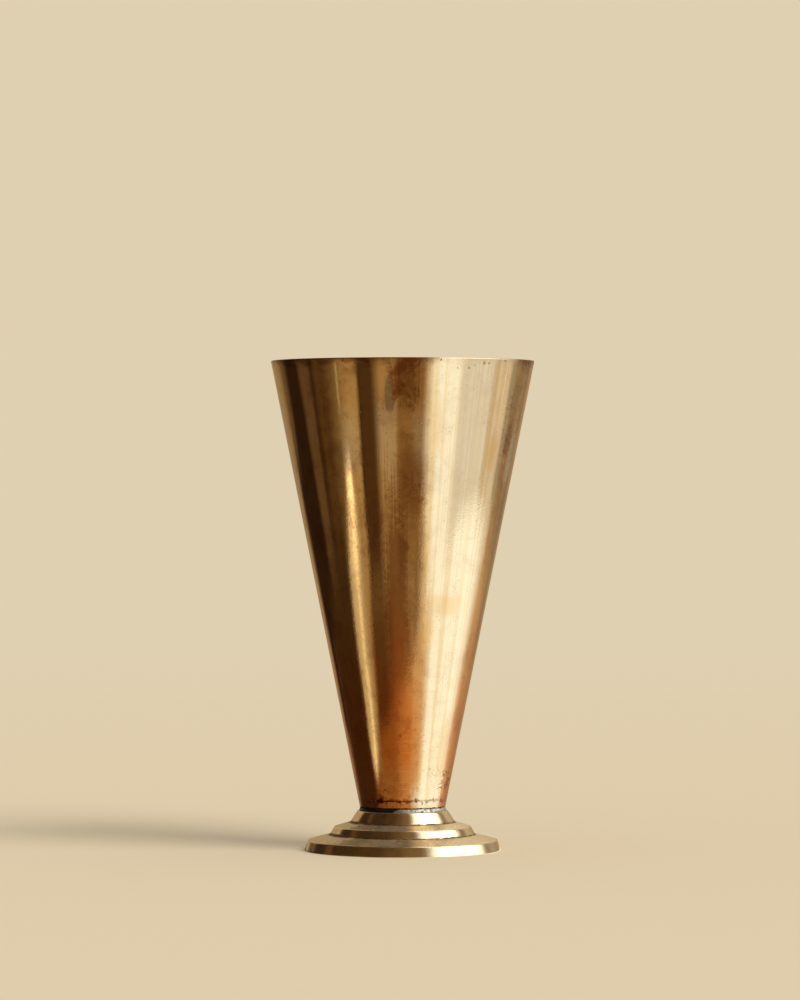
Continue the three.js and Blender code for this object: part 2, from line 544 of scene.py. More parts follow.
def cone_rows(settings, lip_wear=1.2 * MM):
    """Rows of the closed profile: up the outside, over the lip, down the bore. Marks: wear, none, inside."""
    shape = ConeShape(settings)
    half = shape.sheet / 2
    lip_height = shape.top - half
    lip = Vector((shape.outside(lip_height) - half / math.cos(shape.half_angle), lip_height))
    arc = [k / LIP_STEPS * math.pi - shape.half_angle for k in range(LIP_STEPS + 1)]
    over = [lip + half * Vector((math.cos(a), math.sin(a))) for a in arc]
    outer_foot = Vector((shape.neck, shape.bottom))
    inner_foot = Vector((shape.bore(shape.bottom), shape.bottom))
    start = (outer_foot + inner_foot) / 2
    outside = rounded([(*start, 0), (*outer_foot, settings.edge_round), (*over[0], 0)])
    inside = rounded([(*over[-1], 0), (*inner_foot, settings.edge_round), (*start, 0)])
    rows = []
    for points, side in (
        (filled(outside, CONE_SPACING), 0.0),
        (over[1:-1], 0.5),
        (filled(inside, CONE_SPACING), 1.0),
    ):
        rows += [(point.x, point.y, (nearness(point, [lip], lip_wear), 0.0, side)) for point in points]
    return rows


# Marks on the plate: azimuth in degrees from the front, height and size in millimetres
PITS = (
    (16.5, 258.7, 1.1), (24.4, 254.7, 1.0), (30, 254.6, 1.3), (32.5, 256.2, 1.0), (37.5, 257.2, 1.7),
    (40.2, 257.2, 1.4), (50.2, 258.6, 1.5), (66, 258.3, 2.2), (69, 257.4, 1.8), (72, 258.0, 1.6),
    (-26.5, 258.4, 1.4), (-37, 236, 0.8), (-20, 232, 0.5), (9, 226, 0.5), (47, 190, 0.7), (49, 194, 0.6),
    (45, 187, 0.5),
)
# Stains: the same place, then half-width in degrees, half-height in millimetres and strength
GREY_STAINS = (
    (-5.6, 241, 2.3, 8.5, 0.8), (64, 239, 3.5, 9, 0.3), (76, 180, 5, 12, 0.3), (150, 200, 9, 20, 0.3),
)
BROWN_STAINS = (
    (1, 249, 6, 15, 0.95), (4, 196, 8, 18, 0.5), (64, 218, 3.2, 8, 0.62), (70, 257, 6, 4, 0.55),
    (-3.75, 122, 7.25, 66, 0.8), (11.5, 138, 3.5, 36, 0.35), (-6, 232, 4.5, 8, 0.3),
    (-150, 190, 11, 30, 0.4), (120, 130, 9, 24, 0.35),
)
# Spots that were rubbed clean: as the stains
CLEAN_SPOTS = (
    (71, 206, 4, 14, 0.75), (8.5, 216, 4, 15, 0.7), (-26, 215, 4.5, 13, 0.45), (20, 28, 10, 7.5, 0.75),
)
# A first film of tarnish that drifted across the clean panel: as the stains
GOLD_STAINS = (
    (27, 131, 13, 5.5, 0.55), (46, 55, 7, 16, 0.5), (51, 211, 3, 9, 0.6), (17, 119, 6, 12, 0.6),
    (15, 224, 5, 14, 0.45),
)
# Patches of fine red scratches, and spots of red film: as the stains
SCRATCHED = (
    (62, 37.5, 13, 6, 0.95), (40, 43, 12, 2.5, 0.6), (8, 62, 14, 12, 0.25), (66, 226, 9, 24, 0.4),
    (4, 192, 9, 8, 0.5), (-25, 30, 6, 4, 0.9), (-130, 60, 20, 20, 0.4),
)
RUST_SPOTS = ((-2.7, 62.4, 1.7, 1, 0.5), (-28, 28.8, 3, 1.1, 0.8), (67, 36.5, 3, 3, 0.6))
# Painted highlights: narrow upright lines of bright colour where creases catch the light: as the stains
GLINT_CREASES = ((52.2, 244, 0.5, 19, 0.8), (-30.5, 246, 0.8, 15, 0.9))
# Runs of cleaner plate: azimuth, half-width in degrees, top and mean end in millimetres, and strength
RUNS = ((-8, 5, 236, 196, 0.5), (-27, 4, 232, 206, 0.25), (9, 3, 236, 190, 0.3), (105, 6, 230, 150, 0.4))
# Where the plate was rubbed clean: azimuth, and half-width at the foot and at the rim, in degrees
RUBBED = ((38, 17, 24), (165, 28, 34), (-118, 18, 24))
# Where copper shows through the plate, as painted reflection of the warm table below: azimuths where the
# patch starts and ends, the softness of those sides in degrees, the heights in millimetres below which it is
# bare and above which it is whole, and strength
TABLE_REFLECTION_COPPER = (
    (-24, 16, 4, 12, 50, 150, 1.0), (-86, -36, 8, 4, 50, 150, 0.75), (-42, -16, 6, 6, 30, 46, 1.0),
    (53, 92, 8, 8, 30, 140, 0.6), (170, 230, 12, 12, 40, 130, 0.9), (116, 164, 12, 12, 30, 90, 0.8),
)
# Power of the distances from a stain's middle: 1 makes it round, more makes it squarer
STAIN_POWER = 1.4
# What the height is multiplied by in noise, to draw it out into streaks or press it into level hoops
STREAK_STRETCH = 0.16
HOOP_SQUEEZE = 700.0
# Azimuths of the dark blob in the crusted line, and of the middle of the stretch where that line shows
BLOB_AZIMUTH = -32.0
LINE_AZIMUTH = 8.0
CONE_RELIEF = 0.015 * MM


def cone_plate(settings):
    """Aged silver plate: gold film, rubbed panels, brown clouds, painted glints on creases, copper towards
    the foot as painted reflection of the table, pits and crust.
    """
    material, nodes = new_material("aged_cone_plate")
    shape = ConeShape(settings)
    place = nodes.place()
    x, y, height = place.split()
    azimuth = nodes.azimuth(x, y)
    wear, _, inside = nodes.marks()
    around = nodes.vector("NORMALIZE", nodes.joined(x, y, 0.0))
    side_x, side_y, _ = around.split()

    # Noises: long upright streaks, level hoops, then clouds and ever finer specks
    along = nodes.joined(side_x, side_y, height * STREAK_STRETCH)
    streaks = along.noise(18.0, 3.0, 0.5)
    bands = along.noise(40.0, 2.0, 0.5)
    fine_streaks = along.noise(80.0, 4.0, 0.6)
    hoops = nodes.joined(side_x, side_y, height * HOOP_SQUEEZE).noise(1.6, 3.0, 0.6)
    lumps = around.noise(8.0, 4.0, 0.6)
    clouds = place.noise(34.0, 5.0, 0.6, 0.5)
    mottle = place.noise(120.0, 5.0, 0.65, 0.6)
    ragged = place.noise(420.0, 4.0, 0.65)
    freckles = place.noise(900.0, 3.0, 0.6)
    grain = place.noise(2300.0, 2.0, 0.6)
    uneven = clouds.spread(1.8) + fine_streaks.spread(1.4) + mottle.spread(1.6) + ragged.spread(1.2)

    def away(centre):
        """Degrees away from an azimuth, either way."""
        return abs(azimuth.turned(centre))

    def stain(azimuth_at, height_at, half_width, half_height, strength, edge):
        """A blotch between round and square, ragged with the clouds. Its edge is a share of its size."""
        across = nodes.math("POWER", away(azimuth_at) / half_width, STAIN_POWER)
        up = nodes.math("POWER", abs((height - height_at * MM) / (half_height * MM)), STAIN_POWER)
        reach = nodes.vector("LENGTH", nodes.joined(across, up, 0.0))
        return (reach + uneven).step(1.0 + edge, 1.0 - edge, 0.0, strength)

    def stains(rows, edge=0.45):
        """The strongest of several stains."""
        return nodes.strongest(*[stain(*row, edge) for row in rows])

    def glint_line(azimuth_at, height_at, half_width, half_height, strength):
        """A painted glint: a thin upright line that wavers a little and thins out at its ends."""
        wavering = clouds.spread(2.0) + mottle.spread(1.8)
        across = abs(azimuth - (wavering + azimuth_at)).step(half_width, 0.3 * half_width)
        up = abs(height - height_at * MM) + mottle.spread(16 * MM)
        return across * up.step(half_height * MM, 0.6 * half_height * MM, 0.0, strength)

    def run(azimuth_at, half_width, top, end, strength):
        """A run that was wiped down the plate and ends raggedly, streak by streak."""
        across = away(azimuth_at) + fine_streaks.spread(2.5)
        across = across.step(half_width + 0.7, half_width - 0.7, 0.0, strength)
        ends = height + fine_streaks.spread(0.08) + clouds.spread(0.04)
        starts = height + mottle.spread(0.03)
        return across * (ends.step(end * MM, (end + 6) * MM) * starts.step((top + 4) * MM, (top - 4) * MM))

    def pitted(azimuth_at, height_at, size):
        """A pit with a ragged edge."""
        reach = nodes.vector("DISTANCE", place, shape.point(azimuth_at, height_at * MM))
        return (reach + ragged.spread(1.6 * size * MM)).step(0.7 * size * MM, 0.2 * size * MM)

    def rubbing(centre, foot_half, rim_half):
        """A panel that was rubbed clean, wider towards the rim."""
        half = height.step(CONE_LOW.z, CONE_HIGH.z, foot_half, rim_half)
        return (away(centre) + streaks.spread(9.0) - half).step(5.0, -5.0)

    def table_reflection_patch(start, end, soft_start, soft_end, bare, whole, strength):
        """A copper patch from the foot up, with streaky sides: painted reflection of the warm table."""
        across = (azimuth + streaks.spread(8.0)).arc(start, end, soft_start, soft_end) * strength
        return across * (height + streaks.spread(0.05) + clouds.spread(0.05)).step(whole * MM, bare * MM)

    pit = nodes.strongest(*[pitted(*row) for row in PITS])
    ridge = nodes.vector("MULTIPLY", place, (1.0, 1.0, 1.8)).noise(190.0, 3.0, 0.6, 0.9)
    ridge = abs(ridge - 0.5) + ragged.step(0.45, 0.65, 0.0, 0.05)
    scratches = nodes.strongest(ridge.step(0.050, 0.014) * stains(SCRATCHED), stains(RUST_SPOTS, 0.7))
    rubbed = nodes.strongest(*[rubbing(*row) for row in RUBBED])
    cleaned = nodes.strongest(stains(CLEAN_SPOTS, 0.6), *[run(*row) for row in RUNS])
    # Copper towards the foot: painted reflection of the warm table, drawn as plate worn through
    copper = nodes.strongest(*[table_reflection_patch(*row) for row in TABLE_REFLECTION_COPPER]) * height.step(38 * MM, 54 * MM, 0.78, 1.0)
    copper = copper * (1.0 - cleaned)
    cloudy = height.step(165 * MM, 205 * MM).blend(1.0, mottle.step(0.40, 0.64, 1.1, 0.6))
    freckled = freckles.step(0.55, 0.70) * mottle.step(0.44, 0.60)
    below_rim = CONE_HIGH.z - height + mottle.spread(16 * MM)

    # The crusted line above the floor's solder, a red film below it and dirt along the lower edge
    line = height - FILLET_HIGH.z + (ragged.spread(3.0 * MM) + lumps.spread(2.0 * MM))
    blob = (away(BLOB_AZIMUTH) + ragged.spread(14.0)).step(8.5, 2.5)
    half_thick = blob.blend(0.5 * MM, 1.3 * MM) + freckles.spread(1.6 * MM)
    shown = (away(LINE_AZIMUTH) + lumps.spread(10.0)).step(47.0, 43.0)
    shown = nodes.strongest(shown, lumps.step(0.52, 0.60, 0.0, 0.8)) * azimuth.step(-14.0, 22.0, 1.0, 0.45)
    crust_line = (abs(line) - half_thick).step(0.25 * MM, -0.35 * MM) * shown
    smear = line.step(0.2 * MM, -0.5 * MM) * ragged.step(0.44, 0.62, 0.05, 0.55)
    smear = smear * azimuth.step(0.0, 16.0, 1.0, 0.3)
    spots = abs(line).step(2.6 * MM, 0.8 * MM) * ragged.step(0.50, 0.60, 0.0, 0.85)
    crust_edge = (height - CONE_LOW.z + ragged.spread(2.0 * MM)).step(0.6 * MM, 0.1 * MM)
    inner = inside.step(0.55, 0.95)
    crust = nodes.strongest(pit * 0.62, crust_line, crust_edge) * (1.0 - inner)

    # The bore: dull and patchy, with faint tide bands and runs
    water = height + (clouds.spread(0.03) + streaks.spread(0.012))
    tide = nodes.joined(0.0, 0.0, water).noise(55.0, 3.0, 0.6)
    bore = nodes.layered(
        settings.bore,
        (clouds.step(0.42, 0.66, 0.0, 0.5), settings.ash),
        (tide.step(0.50, 0.70, 0.0, 0.35), settings.ash),
        (streaks.step(0.5, 0.8, 0.0, 0.2), settings.umber),
        (mottle.step(0.5, 0.72, 0.0, 0.3), settings.umber),
    )
    base = nodes.layered(
        settings.gold,
        (rubbed, settings.silver),
        ((clouds * 0.6 + mottle * 0.4).step(0.44, 0.66) * rubbed.blend(0.52, 0.13), settings.umber),
        (fine_streaks.step(0.45, 0.75) * rubbed.blend(0.14, 0.05), settings.umber),
        (streaks.step(0.46, 0.66, 0.0, 0.22), settings.gold),
        (bands.step(0.48, 0.60, 0.0, 0.26), settings.gold),
        (cleaned, settings.silver),
        (stains(GOLD_STAINS, 0.8), settings.gold),
        (stains(GREY_STAINS, 0.3), settings.ash),
        (stains(BROWN_STAINS) * cloudy, settings.umber),
        # painted reflection of the warm table, as copper
        (copper, settings.copper),
        (copper * mottle.step(0.48, 0.7, 0.0, 0.3), settings.rust),
        (hoops.step(0.54, 0.70, 0.0, 0.24) * height.step(90 * MM, 45 * MM), settings.gold),
        (freckled * rubbed.blend(0.45, 0.26), settings.umber),
        # painted highlights along the creases
        (nodes.strongest(*[glint_line(*row) for row in GLINT_CREASES]), settings.painted_glint),
        (scratches, settings.rust),
        (scratches.step(0.45, 0.95, 0.0, 0.5), settings.crust),
        (below_rim.step(4.5 * MM, 0.5 * MM) * rubbed.blend(0.75, 0.12), settings.umber),
        (nodes.strongest(smear, spots), settings.rust),
        (crust, settings.crust),
        (inner, bore),
    )
    rough = clouds.step(0.4, 0.72).blend(0.055, 0.105) + fine_streaks.spread(0.05)
    rough = rough + mottle.step(0.5, 0.75, 0.0, 0.06) + copper * 0.045
    rough = inner.blend(crust.blend(wear.blend(rough, 0.2), 0.6), 0.5)
    grainy = freckles * height.step(210 * MM, 165 * MM, 0.35, 2.2)
    relief = fine_streaks * 0.2 + grainy + grain * 0.14 - pit * 2.0
    metal_output(nodes, base, rough, inner.blend(1.0, 0.45), relief, CONE_RELIEF)
    return material


class VASE_OT_cone(bpy.types.Operator):
    """Turn the plated cone from its profile"""

    bl_idname = "vase.cone"
    bl_label = "Cone"

    def execute(self, context):
        settings = context.scene.vase_cone
        rows = cone_rows(settings)
        finish = cone_plate(settings)
        waves = (settings.wave_share, CONE_WAVES)
        piece = turned_piece("plated_cone", rows, settings.steps_round, *waves, finish)
        dress(piece, "cone_body")
        return {"FINISHED"}


# Foot


def line_crossing(a, a_way, b, b_way):
    """Where two lines of the profile meet, each given by a point and a direction."""
    between = b - a
    travel = (between.x * b_way.y - between.y * b_way.x) / (a_way.x * b_way.y - a_way.y * b_way.x)
    return a + a_way * travel


def foot_corners(settings, neck_radius):
    """Outer corners from the table up to the seat ledge, and whether each is an outer edge."""
    corner = Vector((neck_radius, SEAM_LOW.z))
    down = []
    for ledge, fall, height, flare in (settings.top_tier, settings.middle_tier, settings.bottom_tier):
        corner = corner + Vector((ledge, -fall))
        down.append((corner, True))
        corner = corner + Vector((flare, -height))
        down.append((corner, False))
    up = down[::-1]
    up[0] = (up[0][0], True)
    return up


def foot_hollow(settings, outer):
    """Corners of the hollow underside, one wall inside the tiers, from its roof down to the table."""
    skin = [point for point, _ in outer] + [Vector((0.0, SEAM_LOW.z))]
    lines = [(Vector((0.0, 0.0)), Vector((1.0, 0.0)))]
    for start, end in zip(skin, skin[1:]):
        way = (end - start).normalized()
        lines.append((start + Vector((-way.y, way.x)) * settings.wall, way))
    lines.append((Vector((0.0, 0.0)), Vector((0.0, 1.0))))
    return [line_crossing(*a, *b) for a, b in zip(lines, lines[1:])][::-1]


def foot_rows(settings, cone, edge_wear=0.6 * MM, crease_grime_and_shade=1.1 * MM):
    """Rows of the foot's profile: hollow, standing ring, tiers, spigot. Marks: wear, grime, hidden."""
    outer = foot_corners(settings, cone.neck)
    hollow = foot_hollow(settings, outer)
    seat, top = SEAM_LOW.z, FOOT_HIGH.z
    spigot = cone.bore(cone.bottom) - settings.fit_gap
    corners = [(*hollow[0], 0)] + [(*p, settings.corner_fillet) for p in hollow[1:-1]] + [(*hollow[-1], 0)]
    corners += [(*p, settings.edge_round if is_edge else settings.corner_fillet) for p, is_edge in outer]
    corners += [(spigot, seat, 0), (spigot, top - settings.spigot_chamfer, 0)]
    corners += [(spigot - settings.spigot_chamfer, top, 0), (0.0, top, 0)]
    edges = [p for p, is_edge in outer if is_edge]
    creases = [p for p, is_edge in outer if not is_edge]
    under = len(filled(rounded(corners[: len(hollow)]), FOOT_SPACING))
    rows = []
    for i, point in enumerate(filled(rounded(corners), FOOT_SPACING)):
        hidden = float(i < under or point.x < cone.neck)
        marks = (nearness(point, edges, edge_wear), nearness(point, creases, crease_grime_and_shade), hidden)
        rows.append((point.x, point.y, marks))
    return rows


# Dull patches of the ledges, and the side away from the light where the corners take the most painted shade:
# azimuths in degrees
LOW_PATCH_AZIMUTH = 11.0
LEFT_PATCH_AZIMUTH = -37.0
SHADED_SIDE_AZIMUTH = -72.0
FOOT_RELIEF = 0.03 * MM


def foot_plate(settings):
    """Pale worn plate on a casting: satin ledges, bright edges, dirt and painted shade in the corners, fine
    pits, painted shade in the gap.
    """
    material, nodes = new_material("worn_foot_plate")
    place = nodes.place()
    x, y, height = place.split()
    azimuth = nodes.azimuth(x, y)
    wear, grime_and_shade, hidden = nodes.marks()
    level = nodes.out("ShaderNodeNewGeometry", output="Normal").split()[2]
    ledge = level.step(0.6, 0.9)
    clouds = place.noise(70.0, 5.0, 0.6, 0.4)
    blotches = place.noise(320.0, 4.0, 0.62)
    grit = place.noise(950.0, 2.0, 0.6)
    grain = place.noise(1500.0, 3.0, 0.6)
    pits = place.noise(620.0, 2.0, 0.5).step(0.69, 0.74)
    brushed = nodes.vector("NORMALIZE", nodes.joined(x, y, 0.0)).noise(120.0, 4.0, 0.6)

    ragged = azimuth + (clouds.spread(36.0) + blotches.spread(30.0))
    low_patch = abs(ragged - LOW_PATCH_AZIMUTH).step(17.0, 4.0, 0.0, 0.5) * height.step(11.0 * MM, 9.0 * MM)
    left_patch = abs(ragged - LEFT_PATCH_AZIMUTH).step(16.0, 4.0, 0.0, 0.5)
    # Corner darkening is dirt and painted shade, heavier on the left side away from the light
    thick = abs(azimuth - SHADED_SIDE_AZIMUTH).step(24.0, 12.0, 0.0, 0.4) + blotches.spread(1.4)
    dirt = nodes.strongest((grime_and_shade + thick).step(0.62, 0.98, 0.0, 0.9), pits * 0.8)
    base = nodes.layered(
        settings.nickel,
        (clouds.step(0.42, 0.70, 0.0, 0.4), settings.straw),
        (blotches.step(0.5, 0.75, 0.0, 0.35), settings.straw),
        (grain.step(0.5, 0.75, 0.0, 0.3) * ledge, settings.straw),
        (nodes.strongest(low_patch, left_patch) * ledge, settings.grime_and_shade),
        (grit.step(0.53, 0.66) * ledge.blend(0.12, 0.4), settings.grime_and_shade),
        (wear * 0.6, settings.nickel),
        # corner dirt and painted shade, with dirt in the pits
        (dirt, settings.grime_and_shade),
        (grain.step(0.60, 0.66) * (grime_and_shade * 0.7), settings.nickel),
        # hidden faces black: painted shade in the gap where the solder is missing
        (hidden, nodes.layered(settings.painted_gap_shade, (level.step(0.0, -0.1), settings.grime_and_shade))),
    )
    rough = ledge.blend(0.13, 0.34) + blotches.spread(0.16) + brushed.spread(0.12)
    rough = nodes.strongest(dirt, hidden).blend(wear.blend(rough, 0.18), 0.5)
    metallic = hidden.blend(ledge.blend(1.0, 0.86), 0.3)
    relief = grain * ledge.blend(0.5, 3.0) + brushed * 0.3
    metal_output(nodes, base, rough, metallic, relief, FOOT_RELIEF)
    return material


class VASE_OT_foot(bpy.types.Operator):
    """Turn the cast foot from its profile"""

    bl_idname = "vase.foot"
    bl_label = "Foot"

    def execute(self, context):
        settings = context.scene.vase_foot
        rows = foot_rows(settings, ConeShape(context.scene.vase_cone))
        finish = foot_plate(settings)
        waves = (settings.wave_share, FOOT_WAVES)
        piece = turned_piece("tiered_foot", rows, settings.steps_round, *waves, finish)
        dress(piece, "stepped_foot")
        return {"FINISHED"}


# Solder seams and floor


# How far solder stands off the metal beside it and proud of the cone's edge, and depths of the reliefs
STAND_OFF = 0.02 * MM
NECK_PROUD = 0.1 * MM
SOLDER_RELIEF = 0.12 * MM
FLOOR_RELIEF = 0.08 * MM
# The ends of the neck seam: how soon it is thick and tall, as shares of its run, and how tall it starts
THICK_AFTER = 1 / 30
TALL_AFTER = 1 / 34
END_HEIGHT = 0.15
# How far the fillet's face draws in, as a share of its leg
FILLET_HOLLOW = 0.2


def solder_finish(settings):
    """Dull grey solder, lumpy and partly oxidised."""
    material, nodes = new_material("soft_solder")
    place = nodes.place()
    lumps = place.noise(500.0, 4.0, 0.6, 0.5)
    base = nodes.layered(settings.solder, (lumps.step(0.42, 0.68), settings.solder_dark))
    rough = lumps.step(0.35, 0.7).blend(0.38, 0.62)
    relief = lumps + place.noise(2400.0, 2.0) * 0.3
    metal_output(nodes, base, rough, metallic=0.9, height=relief, bump_distance=SOLDER_RELIEF)
    return material


def floor_finish(settings):
    """Dull copper with rings of lime scale."""
    material, nodes = new_material("stained_floor_copper")
    place = nodes.place()
    x, y, _ = place.split()
    stains = place.noise(160.0, 5.0, 0.62, 0.8)
    reach = nodes.vector("LENGTH", nodes.joined(x, y, 0.0))
    rings = nodes.joined(reach * 900.0, stains, 0.0).noise(1.0, 3.0)
    base = nodes.layered(
        settings.floor_copper,
        (stains.step(0.4, 0.62), settings.solder_dark),
        (rings.step(0.52, 0.7, 0.0, 0.7), settings.scale),
    )
    rough = rings.step(0.45, 0.7).blend(0.38, 0.7)
    metallic = rings.step(0.52, 0.7).blend(1.0, 0.3)
    metal_output(nodes, base, rough, metallic, stains + rings * 0.5, FLOOR_RELIEF)
    return material


def bead(name, section, start, end, steps, finish):
    """A bead of solder swept round the axis.

    section(turn, along) gives its closed outline of (radius, height). along is the share of the run to the
    nearer end, or 1 for a whole ring.
    """
    whole = math.isclose(end - start, 2 * math.pi)
    rings = steps if whole else steps + 1
    verts, faces = [], []
    for i in range(rings):
        turn = start + (end - start) * i / steps
        outline = section(turn, 1.0 if whole else min(i, steps - i) / steps)
        verts += [(radius * math.cos(turn), radius * math.sin(turn), height) for radius, height in outline]
    count = len(verts) // rings
    for i in range(steps):
        here, there = i * count, (i + 1) % rings * count
        for k in range(count):
            after = (k + 1) % count
            faces.append((here + k, there + k, there + after, here + after))
    if not whole:
        faces.append(tuple(range(count)))
        faces.append(tuple(steps * count + k for k in reversed(range(count))))
    mesh = bpy.data.meshes.new(name)
    mesh.from_pydata(verts, [], faces)
    mesh.polygons.foreach_set("use_smooth", [True] * len(faces))
    mesh.materials.append(finish)
    mesh.update()
    return new_object(name, mesh)


def unevenness(turn, height, scale):
    """Smooth noise from -1 to 1 round the axis."""
    return noise.noise(Vector((scale * math.cos(turn), scale * math.sin(turn), height)))


def neck_section(settings, cone):
    """Outline of the neck seam at an angle: a ragged band that draws in towards the cone."""
    inner = cone.bore(cone.bottom) + STAND_OFF
    low, high = SEAM_LOW.z, SEAM_HIGH.z
    toe, lip = SEAM_HIGH.x, cone.neck + NECK_PROUD

    def section(turn, along):
        ease = min(1.0, along / THICK_AFTER)
        rise = END_HEIGHT + (1 - END_HEIGHT) * min(1.0, along / TALL_AFTER)
        bulge = settings.raggedness * unevenness(turn, height=0.0, scale=9.0)
        upper = settings.raggedness * unevenness(turn, height=3.0, scale=22.0)
        toe_here = inner + (toe - inner - settings.raggedness / 2) * ease + bulge / 2
        lip_here = inner + (lip - inner - settings.raggedness / 2) * ease + upper / 2
        waist = (toe_here + 2 * lip_here) / 3 + bulge / 2
        outline = [
            (inner, low), (toe_here - 0.1 * MM, low), (toe_here, low + 0.2 * MM),
            ((toe_here + waist) / 2, low + 0.55 * MM), (waist, (low + high) / 2),
            (lip_here, high - 0.75 * MM), (lip_here - 0.25 * MM, high - 0.3 * MM),
            (lip_here - 0.6 * MM, high - 0.05 * MM), (inner, high - STAND_OFF),
        ]
        return [(radius, low + (height - low) * rise) for radius, height in outline]

    return section


def floor_section(settings, cone):
    """Outline of the floor fillet at an angle, hollow-faced and uneven."""
    low, high = FILLET_LOW.z, FILLET_HIGH.z
    leg = high - low
    bottom = low + STAND_OFF / 2
    wall_low = cone.bore(low) - STAND_OFF

    def section(turn, _):
        uneven = settings.raggedness * unevenness(turn, height=7.0, scale=7.0)
        top = high - settings.raggedness / 2 + uneven / 2
        toe = Vector((cone.bore(low) - leg - uneven, bottom))
        crown = Vector((cone.bore(top) - STAND_OFF, top))
        hollow = Vector((wall_low - FILLET_HOLLOW * leg, low + FILLET_HOLLOW * leg))
        curve = curve_points(crown, hollow, toe, FILLET_CURVE_STEPS)
        return [(wall_low, bottom)] + [tuple(point) for point in curve]

    return section


class VASE_OT_seams(bpy.types.Operator):
    """Run the solder seams under the cone and round its floor"""

    bl_idname = "vase.seams"
    bl_label = "Solder seams"

    def execute(self, context):
        settings = context.scene.vase_seams
        cone = ConeShape(context.scene.vase_cone)
        finish = solder_finish(settings)
        whole_turn = 2 * math.pi
        start, end = settings.missing_end, settings.missing_start + whole_turn
        neck = bead("neck_seam", neck_section(settings, cone), start, end, NECK_STEPS, finish)
        dress(neck, "neck_solder")
        fillet = bead("floor_fillet", floor_section(settings, cone), 0.0, whole_turn, FILLET_STEPS, finish)
        dress(fillet, "floor_solder")
        return {"FINISHED"}


class VASE_OT_floor(bpy.types.Operator):
    """Turn the floor disc of the water space"""

    bl_idname = "vase.floor"
    bl_label = "Floor disc"

    def execute(self, context):
        settings = context.scene.vase_seams
        cone = ConeShape(context.scene.vase_cone)
        gap = context.scene.vase_foot.fit_gap
        edge = [(cone.bore(z) - gap, z, settings.floor_edge_round) for z in (FLOOR_LOW.z, FLOOR_HIGH.z)]
        corners = [(0.0, FLOOR_LOW.z, 0), *edge, (0.0, FLOOR_HIGH.z, 0)]
        rows = [(point.x, point.y, (0.0, 0.0, 0.0)) for point in filled(rounded(corners), FLOOR_SPACING)]
        finish = floor_finish(settings)
        piece = turned_piece("floor_plate", rows, FLOOR_STEPS, FLOOR_WAVE_SHARE, FLOOR_WAVES, finish)
        dress(piece, "floor_disc")
        return {"FINISHED"}


# Stage


# What the metal mirrors round the set, as cards on two rings, each card over the last: azimuths from the
# camera where it starts and ends, the softness of those sides in degrees, and its level. The cone mirrors
# the low ring, the foot the high one
LOW_CARDS = (
    (150, 211, 10, 8, (0.45, 0.33, 0.18)),
    (110, 151, 3, 8, (0.42, 0.35, 0.26)),
    (-108, -94, 3, 3, (0.15, 0.10, 0.065)),
    (-90, -70, 4, 4, (0.12, 0.072, 0.036)),
    (-66, -44, 14, 1.5, (0.52, 0.40, 0.25)),
    (-42, -26, 2, 3, (0.10, 0.055, 0.028)),
    (-8, 26, 6, 3, (0.34, 0.225, 0.125)),
    (-25, -5, 5, 1.5, (0.49, 0.37, 0.24)),
    (86, 116, 3, 3, (0.80, 0.71, 0.60)),
    (89, 98, 2, 2, (0.72, 0.61, 0.46)),
    (41, 91, 2, 2, (0.88, 0.865, 0.86)),
    (24, 56, 6, 3, (1.22, 1.27, 1.31)),
)
HIGH_CARDS = (
    (170, 228, 6, 3, (0.50, 0.37, 0.21)),
    (128, 181, 8, 6, (0.62, 0.50, 0.34)),
    (114, 130, 4, 6, (0.30, 0.22, 0.14)),
    (-106, -96, 2, 2, (0.12, 0.06, 0.03)),
    (-92, -56, 6, 6, (0.05, 0.026, 0.010)),
    (-60, -20, 14, 8, (0.075, 0.037, 0.014)),
    (-24, 4, 8, 8, (0.13, 0.072, 0.03)),
    (0, 44, 8, 8, (0.21, 0.135, 0.065)),
    (39, 113, 13, 8, (2.4, 2.4, 2.4)),
)
# Behind the vase, where its ledges mirror: the same, then the heights of the ray between which a card shows
BEHIND_CARDS = (
    (181, 194, 2, 4, (0.05, 0.03, 0.014), 0.415, 0.65),
    (181, 194, 2, 4, (0.16, 0.10, 0.05), 0.53, 0.65),
    (164, 179, 4, 2, (1.2, 1.08, 0.85), 0.415, 0.65),
)
BEHIND_SOFTNESS = (0.025, 0.03)
HIGH_DARK = (0.040, 0.021, 0.009)
OVERHEAD = (0.55, 0.50, 0.43)
# Heights of the ray over which the high ring takes over from the low one, and the cap overhead from both
HIGH_RING_FROM = (0.05, 0.32)
OVERHEAD_FROM = (0.94, 0.985)


def studio_world(settings):
    """Plain pale backdrop for the camera, soft light for the floor, and rings of cards for the metal."""
    world = bpy.data.worlds.new("studio")
    world.use_nodes = True
    nodes = Nodes(world.node_tree)
    x, y, z = nodes.out("ShaderNodeTexCoord", output="Generated").split()
    azimuth = nodes.azimuth(x, y)

    def ring(level, cards):
        """The level round the horizon, as given between the cards."""
        return nodes.layered(level, *[(azimuth.arc(*sides), card_level) for *sides, card_level in cards])

    high = ring(HIGH_DARK, HIGH_CARDS)
    for *card, lowest, highest in BEHIND_CARDS:
        high = nodes.layered(high, (z.between(lowest, highest, *BEHIND_SOFTNESS), ring(high, [card])))
    rays = nodes.outputs("ShaderNodeLightPath")
    mirrored = nodes.layered(
        ring(settings.umber, LOW_CARDS), (z.step(*HIGH_RING_FROM), high), (z.step(*OVERHEAD_FROM), OVERHEAD)
    )
    seen = nodes.layered(
        settings.ambient, (rays["Is Glossy Ray"], mirrored), (rays["Is Camera Ray"], settings.backdrop)
    )
    background = nodes.out("ShaderNodeBackground", Color=seen, Strength=1.0)
    nodes.add("ShaderNodeOutputWorld", Surface=background)
    return world


